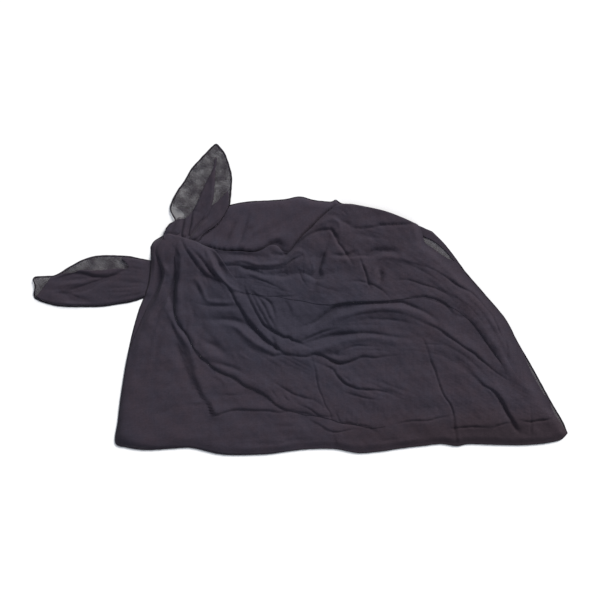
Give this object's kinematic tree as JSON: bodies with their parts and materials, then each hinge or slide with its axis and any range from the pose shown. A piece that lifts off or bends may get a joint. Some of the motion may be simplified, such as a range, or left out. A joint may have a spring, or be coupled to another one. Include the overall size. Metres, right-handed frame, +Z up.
{
  "type": "sarong, tied and laid flat",
  "caption": "Short sarong of sheer black voile, wrapped, tied at the hip by two corners and laid flat on a surface.",
  "frame": {"origin": "on the surface it lies on, under the middle of the whole piece", "axes": "+X from the free ear towards the far hem corner, +Y from the hem to the waist, +Z up from the surface"},
  "size_m": [1.066, 0.6201, 0.0233],
  "materials": {
    "voile": "matt charcoal voile, plain weave, several layers deep",
    "voile_sheer": "one sheer layer of matt charcoal voile, plain weave",
    "hem": "narrow rolled hem of the same voile"
  },
  "bodies": {
    "root": {"back_panel": "voile_sheer", "front_under": "voile", "front_outer": "voile", "front_swag": "voile", "knot_core": "voile", "ear_up": "voile_sheer", "ear_left": "voile_sheer"}
  },
  "joints": []
}
